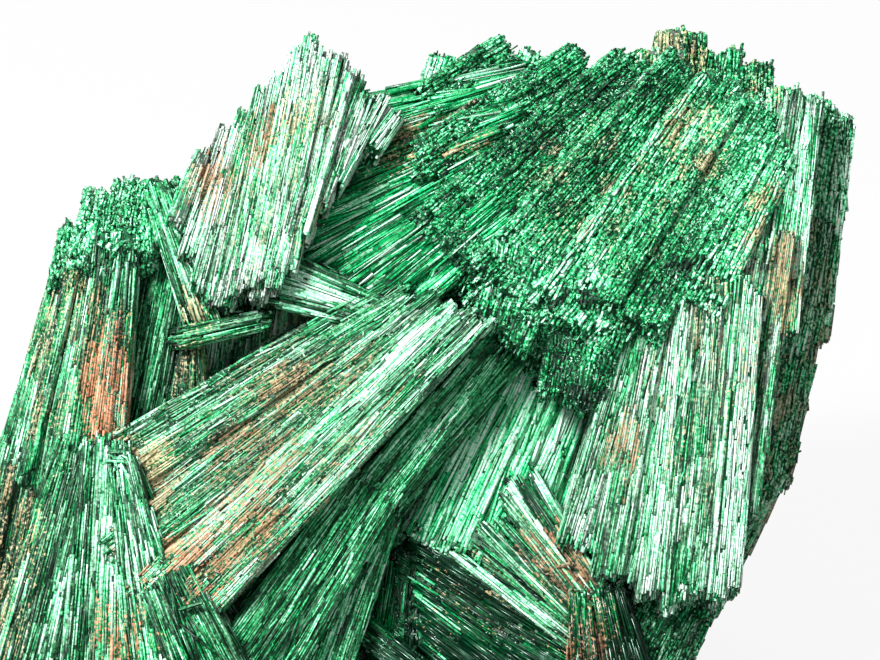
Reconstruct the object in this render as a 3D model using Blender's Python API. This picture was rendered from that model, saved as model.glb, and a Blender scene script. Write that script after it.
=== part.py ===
"""A hand-sized lump of fibrous malachite: one solid, grown as sheaves of long crystal blades.

The lump stands on a flat broken base. Its front is a face that leans back, and every sheaf on
it is laid out on that face: across it, up it, and out of it towards the viewer. Each sheaf is a
row of deep blades that widens from one end to the other, as crystals that radiate from a point
do. The sheaves and the core that they grew on are fused into a single solid.
"""

import math
import random

import bmesh
import bpy
from mathutils import Vector

MM = 0.001

# The leaning front face that the sheaves are laid out on
LEAN = math.radians(20)
FACE_CENTRE_HEIGHT = 30.0
SEED = 23

# Directions on the face, as (across, up, out)
OUT = (0.0, 0.0, 1.0)

# Blade habit, as shares of a blade's width or in millimetres
BLADE_OVERLAP = 0.12
BLADE_RISE = 0.42
BLADE_TILT = 0.30
END_STEP = 0.65
END_SLANT = 0.35

# Each row is a sheaf: one end, the other end, half width at each end, depth, blades, and the
# way it faces where that is not straight out. The points lie on the sheaf's outer surface.
PEAK_PLATE = (
    ((-18.6, 7.4, 2.2), (-16.6, 13.0, 0.8), (0.85, 0.80), 7.0, 2),
    ((-17.7, 5.0, 2.6), (-15.0, 14.4, 1.0), (0.85, 0.75), 7.0, 2),
    ((-16.9, 2.8, 3.0), (-13.6, 15.6, 1.2), (0.80, 0.75), 8.0, 2),
    ((-15.6, 2.4, 3.4), (-12.4, 17.2, 1.6), (0.80, 0.70), 8.0, 2),
    ((-14.4, 2.6, 3.8), (-11.2, 18.2, 2.0), (0.75, 0.70), 8.0, 2),
    ((-13.2, 3.0, 4.0), (-10.0, 19.4, 2.4), (0.75, 0.70), 8.0, 2),
    ((-12.1, 3.4, 4.2), (-8.9, 20.1, 2.6), (0.75, 0.70), 9.0, 2),
    ((-11.0, 4.6, 4.3), (-7.8, 19.8, 2.6), (0.75, 0.70), 9.0, 2),
    ((-10.2, 6.8, 4.2), (-6.8, 18.8, 2.3), (0.80, 0.70), 9.0, 2),
    ((-9.0, 8.8, 3.8), (-5.8, 17.6, 1.8), (0.85, 0.75), 8.0, 2),
    ((-7.6, 11.2, 3.0), (-4.7, 16.6, 1.0), (0.90, 0.80), 7.0, 2),
    ((-5.4, 13.2, 1.6), (-3.5, 15.8, 0.2), (1.10, 0.90), 6.0, 2),
)
EMERALD_FAN = (
    ((6.0, 18.6, -5.5), (-6.9, 15.2, -1.8), (1.0, 1.4), 7.0, 3),
    ((5.8, 17.2, -3.5), (-7.3, 12.8, -1.6), (1.0, 1.6), 7.0, 4),
    ((5.2, 15.4, -1.8), (-8.8, 9.6, -1.2), (1.0, 1.7), 7.0, 4),
    ((4.4, 13.6, -0.6), (-10.4, 6.4, -0.9), (1.0, 1.7), 7.0, 4),
    ((3.6, 11.6, 0.4), (-9.6, 3.4, -0.2), (1.0, 1.6), 7.0, 4),
    ((3.0, 9.6, 1.4), (-6.4, 2.6, 1.2), (1.0, 1.5), 7.0, 3),
    ((4.6, 8.4, 2.8), (-3.6, 1.6, 2.4), (1.3, 1.5), 8.0, 3),
)
DRUSE_FACE = (
    ((5.6, 20.2, -6.6), (-0.6, 16.2, -2.6), (1.8, 1.6), 8.0, 3),
    ((10.4, 19.4, -5.6), (-0.8, 11.4, 0.6), (1.7, 2.2), 9.0, 4),
    ((14.6, 19.4, -5.4), (0.6, 6.6, 3.4), (1.9, 2.6), 10.0, 4),
    ((18.2, 18.8, -5.2), (4.6, 3.0, 5.4), (2.0, 2.6), 12.0, 4),
    ((21.0, 17.8, -4.6), (9.0, 0.8, 6.4), (2.0, 2.6), 13.0, 4),
    ((23.2, 16.6, -3.8), (13.2, 1.2, 6.6), (1.9, 2.5), 12.0, 4),
    ((24.6, 14.4, -2.8), (17.6, 2.4, 5.4), (1.7, 2.3), 11.0, 4),
    ((6.4, 5.2, 5.0), (4.4, -0.2, 4.6), (2.0, 2.0), 6.0, 3),
    ((11.0, 2.6, 6.0), (9.2, -5.2, 4.6), (2.6, 2.0), 8.0, 4),
)
BACK_SHOULDER = (
    ((14.2, 13.6, -9.2), (14.8, 20.6, -10.2), (2.0, 1.5), 10.0, 2),
    ((18.0, 14.0, -10.0), (18.2, 22.0, -11.0), (2.1, 1.5), 11.0, 2),
    ((21.8, 12.0, -8.6), (22.4, 20.2, -9.4), (3.0, 2.4), 12.0, 4),
    ((26.8, 8.0, -6.8), (27.0, 17.4, -7.8), (2.6, 2.2), 12.0, 3),
    ((-1.0, 12.0, -8.0), (1.4, 20.2, -9.0), (2.4, 1.8), 9.0, 3),
    ((7.2, 14.0, -7.4), (8.2, 20.4, -8.2), (2.4, 1.8), 9.0, 3),
)
RIGHT_COLUMN = (
    ((26.6, 17.0, -3.8), (23.6, 0.4, 2.4), (1.3, 1.8), 11.0, 4),
    ((23.8, 6.4, 1.6), (20.6, -12.6, 5.2), (1.4, 1.7), 11.0, 4),
    ((21.2, 3.0, 4.4), (18.9, -18.2, 7.6), (1.5, 1.9), 11.0, 4),
    ((18.4, 3.4, 4.8), (15.9, -18.8, 7.4), (1.5, 1.8), 11.0, 4),
    ((16.2, 2.8, 5.0), (12.6, -17.4, 5.8), (1.4, 1.8), 10.0, 4),
    ((14.0, -1.0, 4.8), (10.0, -15.6, 4.4), (1.3, 1.6), 9.0, 4),
)
RIGHT_FLANK = (
    ((28.8, 16.0, -7.4), (26.0, 0.0, -3.0), (2.2, 2.6), 14.0, 4, (0.55, 0.1, 0.8)),
    ((26.2, 1.6, -2.4), (23.4, -10.6, -0.6), (2.4, 2.6), 14.0, 4, (0.6, -0.1, 0.8)),
    ((24.2, -8.0, -1.0), (18.2, -19.6, 0.4), (2.4, 2.6), 13.0, 4, (0.6, -0.2, 0.75)),
    ((19.6, -16.0, -1.4), (13.4, -27.6, 0.6), (2.6, 3.2), 13.0, 4, (0.5, -0.3, 0.8)),
    ((30.2, 14.0, -12.0), (20.8, -18.0, -9.0), (4.0, 5.0), 12.0, 5, (1.0, 0.0, 0.1)),
)
DIAGONAL_BUNDLES = (
    ((-3.4, 2.4, 2.8), (-22.0, -9.0, 2.6), (1.2, 1.7), 9.0, 3),
    ((-1.8, 2.0, 4.2), (-23.4, -12.4, 3.6), (1.2, 1.8), 10.0, 4),
    ((-0.2, 1.6, 5.2), (-22.6, -16.4, 4.8), (1.1, 1.9), 11.0, 4),
    ((1.2, 1.2, 5.8), (-20.6, -19.6, 5.8), (1.0, 1.8), 12.0, 4),
    ((2.4, 0.6, 6.0), (-17.4, -19.6, 6.2), (0.9, 1.4), 12.0, 3),
)
UNDER_BUNDLES = (
    ((3.8, -1.2, 2.6), (-7.0, -14.6, 3.2), (0.9, 1.5), 9.0, 4),
    ((5.0, -2.0, 1.4), (-3.6, -11.4, 2.4), (0.9, 1.4), 8.0, 3),
    ((-5.0, -11.4, 3.2), (-13.2, -24.0, 4.6), (2.0, 2.8), 11.0, 5),
    ((-4.6, -13.0, 1.6), (-9.4, -25.6, 2.6), (1.6, 2.2), 10.0, 4),
)
RECESS_BLADES = (
    ((5.4, -3.0, -1.8), (-0.4, -15.4, -0.8), (1.0, 1.6), 6.0, 3),
    ((7.6, -3.8, -2.0), (2.2, -16.4, -0.2), (1.1, 1.6), 6.0, 3),
    ((9.6, -5.6, -1.8), (4.8, -17.0, -0.6), (1.0, 1.5), 6.0, 3),
    ((11.4, -9.0, -2.2), (8.2, -19.0, -1.2), (1.2, 1.6), 6.0, 3),
)
CROSSING_NEEDLES = (
    ((11.6, -18.8, 4.2), (6.6, -10.2, 1.6), (0.40, 0.26), 3.0, 1),
    ((11.2, -19.0, 4.4), (5.8, -10.8, 2.0), (0.40, 0.26), 3.0, 1),
    ((10.8, -19.2, 4.1), (5.1, -11.2, 1.2), (0.40, 0.26), 3.0, 1),
    ((10.4, -19.5, 4.3), (4.4, -12.0, 1.5), (0.40, 0.26), 3.0, 1),
    ((10.0, -19.9, 3.9), (4.0, -13.3, 0.8), (0.40, 0.28), 3.0, 1),
    ((9.6, -20.4, 3.6), (3.2, -14.2, 0.6), (0.45, 0.32), 3.0, 1),
    ((9.8, -21.2, 2.8), (1.6, -15.0, -0.6), (1.4, 1.1), 6.0, 3),
)
LOWER_SHEAVES = (
    ((9.6, -22.6, 2.2), (-2.2, -15.6, -1.6), (2.2, 2.0), 8.0, 4),
    ((7.0, -26.0, 2.6), (-2.4, -19.4, -2.0), (2.6, 2.2), 8.0, 4),
    ((-3.6, -25.8, -1.6), (-2.6, -16.4, -2.0), (1.6, 1.0), 6.0, 3),
    ((1.2, -26.6, 1.4), (-6.8, -20.8, -0.4), (0.6, 0.9), 3.0, 2),
    ((12.8, -27.6, 3.2), (11.2, -19.0, 4.8), (2.8, 1.7), 9.0, 4),
)
LEFT_COLUMN = (
    ((-26.8, 6.4, -2.6), (-30.6, -9.6, -1.8), (1.4, 2.4), 10.0, 3, (-0.6, 0.0, 0.8)),
    ((-25.0, 6.6, -0.2), (-28.2, -10.8, 1.8), (1.4, 2.2), 10.0, 4, (-0.3, 0.0, 0.95)),
    ((-23.0, 6.6, 1.0), (-24.8, -10.2, 3.4), (1.2, 1.9), 10.0, 4),
    ((-19.8, 8.8, -2.2), (-20.2, -8.6, -1.6), (1.9, 1.9), 8.0, 4),
    ((-20.4, 10.2, 1.4), (-16.8, 0.2, 1.6), (0.8, 1.2), 5.0, 3),
    ((-17.9, -0.4, 0.8), (-18.2, -8.6, 1.0), (0.6, 1.4), 5.0, 3),
    ((-18.8, -0.6, 2.0), (-13.2, 0.6, 1.8), (0.6, 0.5), 4.0, 2),
    ((-27.6, 5.0, -6.6), (-32.2, -12.0, -7.0), (2.6, 3.4), 9.0, 4, (-1.0, 0.2, 0.2)),
)
CAP_DRUSE = (
    ((-26.4, 3.6, -1.4), (-26.0, 8.0, -3.0), (1.6, 1.4), 8.0, 3),
    ((-24.6, 4.8, 0.8), (-24.0, 9.6, -1.4), (1.8, 1.5), 8.0, 3),
    ((-22.4, 5.8, 1.2), (-21.8, 10.4, -1.2), (1.8, 1.6), 8.0, 3),
    ((-20.2, 6.6, -1.0), (-19.8, 10.8, -3.0), (1.9, 1.6), 8.0, 3),
)
SPLINTERS = (
    ((-4.0, 1.4, 2.8), (-12.2, 4.6, 2.6), (0.7, 1.4), 4.0, 3),
    ((-5.2, 0.8, 2.6), (-11.8, 2.6, 2.2), (0.6, 0.8), 4.0, 2),
)
LOWER_LEFT = (
    ((-25.4, -8.6, 3.2), (-29.4, -24.8, 3.4), (1.9, 2.8), 11.0, 4),
    ((-23.6, -8.2, 4.0), (-24.2, -25.4, 5.0), (1.5, 2.4), 11.0, 4),
    ((-22.4, -9.4, 4.8), (-19.4, -25.8, 6.4), (1.0, 2.2), 11.0, 4),
    ((-19.2, -17.4, 6.0), (-14.6, -27.4, 7.0), (1.8, 2.6), 11.0, 4),
    ((-30.6, -8.4, -2.4), (-34.4, -27.0, -1.6), (2.8, 3.8), 12.0, 4, (-0.6, 0.1, 0.8)),
)
SKIRT = (
    ((-31.6, -22.0, 0.0), (-31.0, -33.6, 0.6), (4.0, 4.4), 14.0, 4, (-0.4, 0.0, 1.0)),
    ((-23.8, -23.6, 4.0), (-23.4, -34.6, 4.4), (4.2, 4.6), 14.0, 5),
    ((-14.8, -24.4, 4.8), (-14.6, -35.0, 4.8), (4.4, 4.8), 14.0, 5),
    ((-5.8, -24.6, 1.4), (-5.8, -34.4, 2.2), (4.6, 4.8), 12.0, 5),
    ((3.6, -25.6, 0.8), (3.2, -34.2, 1.6), (4.6, 4.8), 12.0, 5),
    ((11.6, -26.0, 1.2), (10.6, -34.0, 0.8), (4.0, 4.0), 12.0, 4, (0.2, 0.0, 1.0)),
)
BACK_SHEAVES = (
    ((-24.6, 6.6, -9.0), (-31.0, -26.0, -12.0), (4.0, 5.0), 10.0, 4, (-0.9, 0.2, -0.6)),
    ((-17.0, 10.4, -13.4), (-22.4, -28.0, -23.0), (4.6, 5.6), 12.0, 4, (-0.3, 0.2, -1.0)),
    ((-8.4, 13.4, -15.6), (-11.6, -28.0, -27.4), (4.8, 5.8), 13.0, 5, (0.0, 0.3, -1.0)),
    ((0.6, 14.6, -17.8), (-0.6, -28.0, -29.6), (4.8, 5.8), 14.0, 4, (0.0, 0.3, -1.0)),
    ((9.4, 16.2, -19.4), (8.4, -27.0, -29.0), (4.8, 5.4), 15.0, 4, (0.1, 0.2, -1.0)),
    ((18.2, 15.4, -20.0), (15.2, -24.0, -25.8), (4.6, 4.8), 14.0, 5, (0.4, 0.2, -1.0)),
    ((26.0, 12.2, -17.4), (19.0, -20.0, -17.4), (4.0, 4.6), 12.0, 4, (0.9, 0.1, -0.5)),
    ((-13.6, 8.6, -17.6), (11.6, -5.2, -24.8), (0.9, 2.0), 6.0, 2, (0.0, 0.3, -1.0)),
    ((-14.2, 7.8, -17.8), (9.4, -10.6, -26.9), (1.0, 2.3), 6.0, 2, (0.0, 0.3, -1.0)),
    ((-14.8, 7.0, -17.6), (5.2, -15.8, -28.1), (1.0, 2.3), 6.0, 2, (0.0, 0.3, -1.0)),
    ((-15.4, 6.0, -17.2), (-0.8, -19.8, -28.6), (0.9, 2.1), 6.0, 2, (0.0, 0.3, -1.0)),
    ((20.8, 9.0, -21.4), (17.6, -16.6, -26.0), (1.2, 2.2), 6.0, 2, (0.3, 0.2, -1.0)),
)
SHEAF_GROUPS = (
    PEAK_PLATE,
    EMERALD_FAN,
    DRUSE_FACE,
    BACK_SHOULDER,
    RIGHT_COLUMN,
    RIGHT_FLANK,
    DIAGONAL_BUNDLES,
    UNDER_BUNDLES,
    RECESS_BLADES,
    CROSSING_NEEDLES,
    LOWER_SHEAVES,
    LEFT_COLUMN,
    CAP_DRUSE,
    SPLINTERS,
    LOWER_LEFT,
    SKIRT,
    BACK_SHEAVES,
)

# Corners of the massive core behind the sheaves
CORE_CORNERS = (
    (-17.0, 9.0, -5.0),
    (-8.0, 14.0, -5.0),
    (3.0, 16.0, -8.0),
    (14.0, 16.0, -10.0),
    (24.0, 13.0, -9.0),
    (26.0, 2.0, -6.0),
    (21.0, -10.0, -5.0),
    (13.0, -24.0, -4.0),
    (0.0, -26.0, -5.0),
    (-16.0, -26.0, -3.0),
    (-28.0, -24.0, -5.0),
    (-28.0, -8.0, -6.0),
    (-25.0, 5.0, -6.0),
    (-21.0, 3.0, -9.0),
    (-6.0, 8.0, -11.0),
    (10.0, 10.0, -14.0),
    (22.0, 8.0, -14.0),
    (18.0, -16.0, -15.0),
    (10.0, -36.0, -18.0),
    (-8.0, -36.0, -20.0),
    (-24.0, -36.0, -16.0),
    (-28.0, -22.0, -14.0),
    (11.0, -36.0, -4.0),
    (-28.0, -36.0, -4.0),
)

# The block of ground that cuts the base flat
GROUND_SPAN = 160.0
GROUND_DEPTH = 40.0

MALACHITE_COLOUR = (0.03, 0.30, 0.14, 1.0)
MALACHITE_ROUGHNESS = 0.42


def on_face(across, up, out):
    """A point on the leaning face, given in millimetres, as metres in the part's own frame."""
    back = up * math.sin(LEAN) - out * math.cos(LEAN)
    height = FACE_CENTRE_HEIGHT + up * math.cos(LEAN) + out * math.sin(LEAN)
    return Vector((across, back, height)) * MM


def add_blade(bm, corner_at):
    """One deep blade: a cube whose eight corners go where corner_at says."""
    made = bmesh.ops.create_cube(bm, size=2.0)
    for vert in made["verts"]:
        sides = (vert.co.x > 0, vert.co.y > 0, vert.co.z > 0)
        vert.co = corner_at(*sides)


def add_sheaf(bm, rng, start, end, half_widths, depth, blades, facing=OUT):
    """A row of blades side by side, each with its own height, tilt and broken ends."""
    start, end = Vector(start), Vector(end)
    along = (end - start).normalized()
    side = along.cross(Vector(facing)).normalized()
    rise = side.cross(along)
    share = 2.0 / blades
    for index in range(blades):
        low = -1.0 + index * share - share * BLADE_OVERLAP
        high = -1.0 + (index + 1) * share + share * BLADE_OVERLAP
        width = share * (half_widths[0] + half_widths[1]) / 2
        lift = rng.uniform(-1.0, 1.0) * BLADE_RISE * width
        tilt = rng.uniform(-1.0, 1.0) * BLADE_TILT * width
        steps = [rng.uniform(-END_STEP, END_STEP) for _ in range(2)]
        slants = [rng.uniform(-END_SLANT, END_SLANT) for _ in range(2)]

        def corner_at(is_right, is_outer, is_far):
            base = end if is_far else start
            half = half_widths[1] if is_far else half_widths[0]
            across = (high if is_right else low) * half
            turn = tilt if is_right else -tilt
            height = lift + turn if is_outer else -depth
            step = steps[is_far] + (slants[is_far] if is_right else -slants[is_far])
            point = base + along * step + side * across + rise * height
            return on_face(*point)

        add_blade(bm, corner_at)


def new_object(name, bm, collection):
    """A mesh object made from a bmesh, linked to its collection."""
    mesh = bpy.data.meshes.new(name)
    bmesh.ops.recalc_face_normals(bm, faces=bm.faces)
    bm.to_mesh(mesh)
    bm.free()
    obj = bpy.data.objects.new(name, mesh)
    collection.objects.link(obj)
    return obj


def new_collection(name):
    """A collection linked to the scene."""
    collection = bpy.data.collections.new(name)
    bpy.context.scene.collection.children.link(collection)
    return collection


def as_helper(obj):
    """Marks an object that only shapes another one."""
    obj.hide_render = True
    obj.display_type = "WIRE"
    return obj


def make_core(collection):
    """The massive middle that the sheaves grew on, as the hull of its corners."""
    bm = bmesh.new()
    for corner in CORE_CORNERS:
        bm.verts.new(on_face(*corner))
    bmesh.ops.convex_hull(bm, input=bm.verts)
    return as_helper(new_object("core", bm, collection))


def make_sheaves(collection):
    """All the blades of all the sheaves, each one a closed prism of its own, in one mesh."""
    rng = random.Random(SEED)
    bm = bmesh.new()
    for group in SHEAF_GROUPS:
        for row in group:
            add_sheaf(bm, rng, *row)
    return as_helper(new_object("sheaves", bm, collection))


def make_ground(collection):
    """The block below the base plane."""
    bm = bmesh.new()
    bmesh.ops.create_cube(bm, size=1.0)
    size = Vector((GROUND_SPAN, GROUND_SPAN, GROUND_DEPTH)) * MM
    bmesh.ops.scale(bm, vec=size, verts=bm.verts)
    bmesh.ops.translate(bm, vec=(0, 0, -size.z / 2), verts=bm.verts)
    return as_helper(new_object("ground_block", bm, collection))


def islands(bm):
    """The connected groups of faces of a bmesh."""
    left = set(bm.faces)
    while left:
        found, edge_of_search = set(), [left.pop()]
        while edge_of_search:
            face = edge_of_search.pop()
            found.add(face)
            for edge in face.edges:
                for other in edge.link_faces:
                    if other in left:
                        left.discard(other)
                        edge_of_search.append(other)
        yield found


def keep_outer_skin(mesh):
    """Removes the skins of pockets that the blades closed off, and loose chips."""
    bm = bmesh.new()
    bm.from_mesh(mesh)
    bmesh.ops.remove_doubles(bm, verts=bm.verts, dist=1e-7)
    skins = sorted(islands(bm), key=len)
    hidden = [face for skin in skins[:-1] for face in skin]
    bmesh.ops.delete(bm, geom=hidden, context="FACES")
    bmesh.ops.triangulate(bm, faces=bm.faces)
    bm.to_mesh(mesh)
    bm.free()


def malachite_material():
    """Silky deep green."""
    material = bpy.data.materials.new("malachite")
    material.use_nodes = True
    shader = material.node_tree.nodes["Principled BSDF"]
    shader.inputs["Base Color"].default_value = MALACHITE_COLOUR
    shader.inputs["Roughness"].default_value = MALACHITE_ROUGHNESS
    shader.inputs["Metallic"].default_value = 0.0
    return material


def add_boolean(obj, name, operation, other):
    """A Boolean step on obj. In a union the other mesh's own parts overlap, and are fused too."""
    step = obj.modifiers.new(name, "BOOLEAN")
    step.operation = operation
    step.object = other
    step.use_self = operation == "UNION"


def build_specimen():
    """Fuses core and sheaves, cuts the base flat and keeps the outer skin."""
    for old in list(bpy.data.objects):
        bpy.data.objects.remove(old)
    parts = new_collection("malachite_specimen")
    helpers = new_collection("shaping_helpers")
    core = make_core(helpers)
    add_boolean(core, "sheaves grown on", "UNION", make_sheaves(helpers))
    add_boolean(core, "flat base", "DIFFERENCE", make_ground(helpers))
    graph = bpy.context.evaluated_depsgraph_get()
    mesh = bpy.data.meshes.new_from_object(core.evaluated_get(graph))
    mesh.name = "malachite_cluster"
    keep_outer_skin(mesh)
    mesh.materials.clear()
    mesh.materials.append(malachite_material())
    specimen = bpy.data.objects.new("malachite_cluster", mesh)
    parts.objects.link(specimen)


build_specimen()
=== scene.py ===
import math

import bmesh
import bpy
import numpy as np
from mathutils import Matrix, Vector, noise
from mathutils.bvhtree import BVHTree


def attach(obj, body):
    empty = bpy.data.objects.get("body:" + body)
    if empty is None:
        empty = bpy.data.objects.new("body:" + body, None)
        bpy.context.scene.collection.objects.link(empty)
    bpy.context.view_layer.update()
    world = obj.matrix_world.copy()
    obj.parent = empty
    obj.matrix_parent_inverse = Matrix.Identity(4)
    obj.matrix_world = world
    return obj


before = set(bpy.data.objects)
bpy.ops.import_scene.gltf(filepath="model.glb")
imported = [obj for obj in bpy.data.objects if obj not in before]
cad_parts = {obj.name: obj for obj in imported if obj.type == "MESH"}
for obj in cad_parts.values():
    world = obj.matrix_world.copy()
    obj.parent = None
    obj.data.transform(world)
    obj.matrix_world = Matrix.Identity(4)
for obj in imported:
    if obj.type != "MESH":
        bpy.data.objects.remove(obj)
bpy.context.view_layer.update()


# The lump: one mass of malachite that grew as sheaves of long crystals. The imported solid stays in
# view as its body, and all the crystals below lie on that solid's own skin. SHEAVES repeats how
# they grew: start, end, half widths and depth in mm on the leaning face, and which way they face.
MM = 0.001
LEAN = math.radians(20)
FACE_CENTRE = np.array((0.0, 0.0, 30.0))
FACE_AXES = np.array((
    (1.0, 0.0, 0.0),
    (0.0, math.sin(LEAN), math.cos(LEAN)),
    (0.0, -math.cos(LEAN), math.sin(LEAN)),
))
OUT = (0.0, 0.0, 1.0)
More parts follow.
